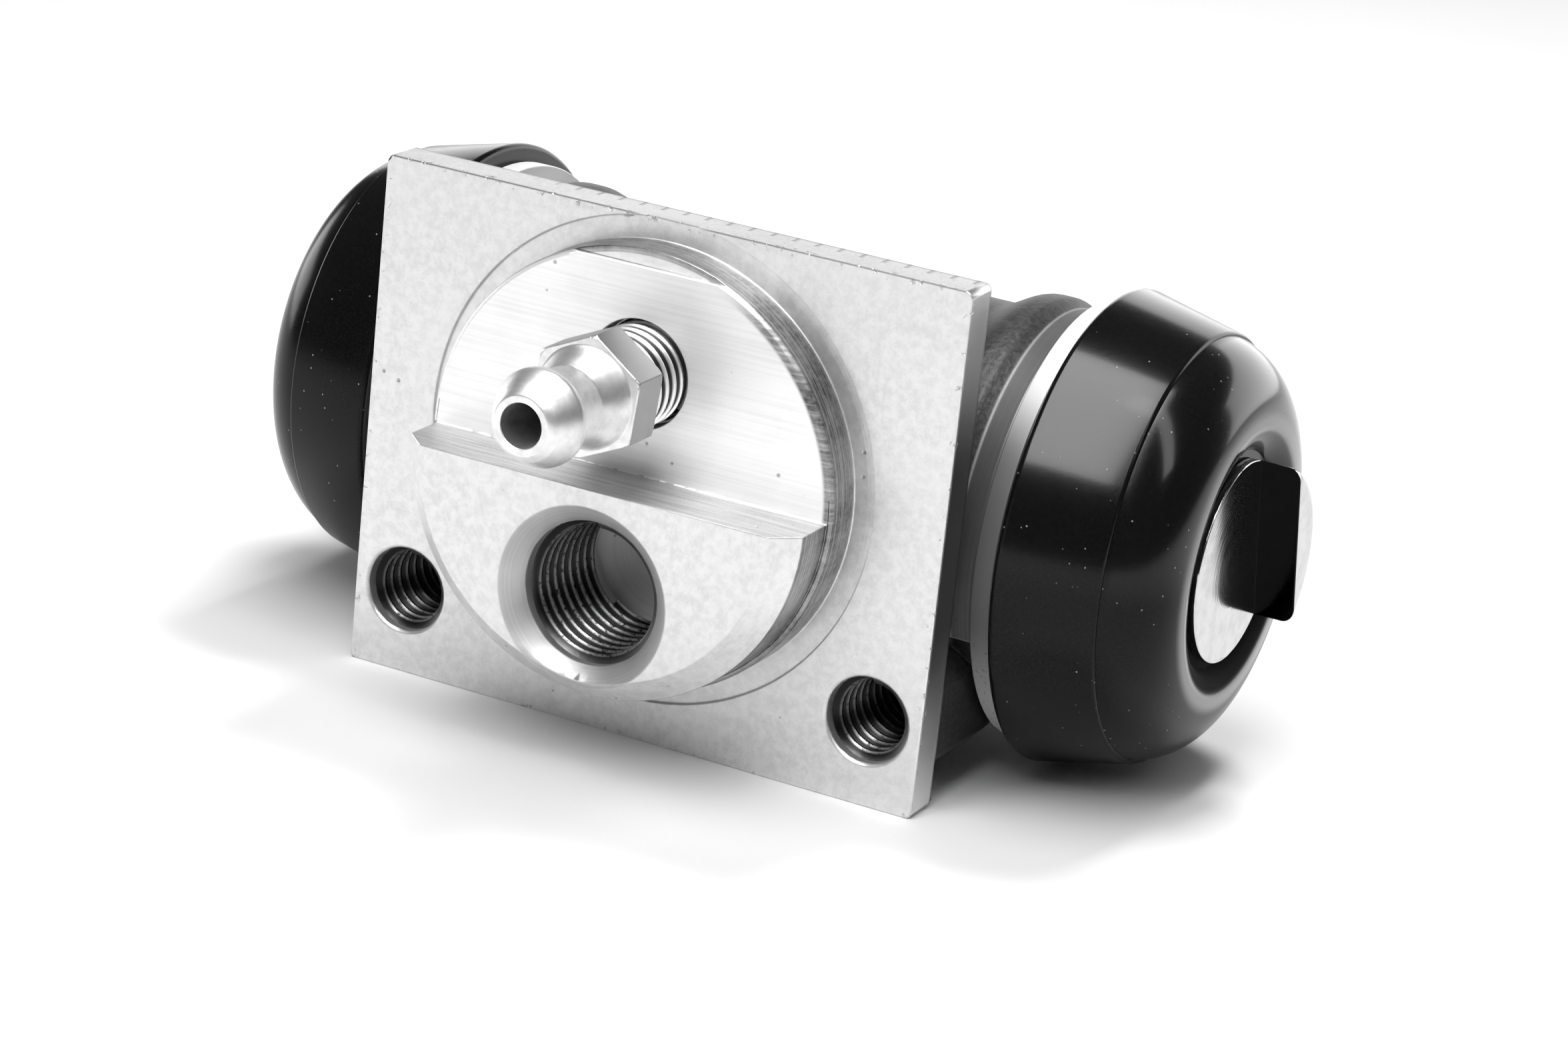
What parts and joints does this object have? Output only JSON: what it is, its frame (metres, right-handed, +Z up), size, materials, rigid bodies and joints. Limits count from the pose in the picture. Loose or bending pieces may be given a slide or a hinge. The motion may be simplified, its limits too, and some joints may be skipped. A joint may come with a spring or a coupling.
{
  "type": "wheel cylinder",
  "caption": "Drum brake wheel cylinder: cast body with mounting plate and spigot, bleed screw, pipe port, opposed pistons, cup seals, spring and rubber dust boots.",
  "frame": {"origin": "on the mounting face, at the spigot's axis", "axes": "+X along the bore, -Y out of the mounting face, +Z up, with the bleed screw above the pipe port"},
  "size_m": [0.076, 0.0544, 0.0371],
  "materials": {
    "cast_aluminium": "cast, with machined faces",
    "plated_steel": "bright plated, turned",
    "boot_rubber": "moulded, satin",
    "piston_metal": "turned, anodised",
    "seal_rubber": "moulded, smooth",
    "spring_steel": "drawn wire"
  },
  "bodies": {
    "cylinder": {"cylinder_body": "cast_aluminium", "left_boot": "boot_rubber", "right_boot": "boot_rubber", "return_spring": "spring_steel"},
    "bleeder": {"bleed_screw": "plated_steel"},
    "left_piston_set": {"left_piston": "piston_metal", "left_cup_seal": "seal_rubber", "left_spring_cup": "plated_steel"},
    "right_piston_set": {"right_piston": "piston_metal", "right_cup_seal": "seal_rubber", "right_spring_cup": "plated_steel"}
  },
  "joints": [
    {"name": "right_piston_slide", "type": "slide", "parent": "cylinder", "child": "right_piston_set", "axis": [1, 0, 0], "range_m": [-0.003, 0.005], "deforming": ["right_boot", "return_spring"]},
    {"name": "left_piston_slide", "type": "slide", "parent": "cylinder", "child": "left_piston_set", "axis": [-1, 0, 0], "range_m": [-0.003, 0.005], "deforming": ["left_boot", "return_spring"]},
    {"name": "bleed_screw_turn", "type": "hinge", "parent": "cylinder", "child": "bleeder", "pos_m": [0, -0.0028, 0.00682], "axis": [0, -1, 0], "range_deg": [0, 180]}
  ]
}
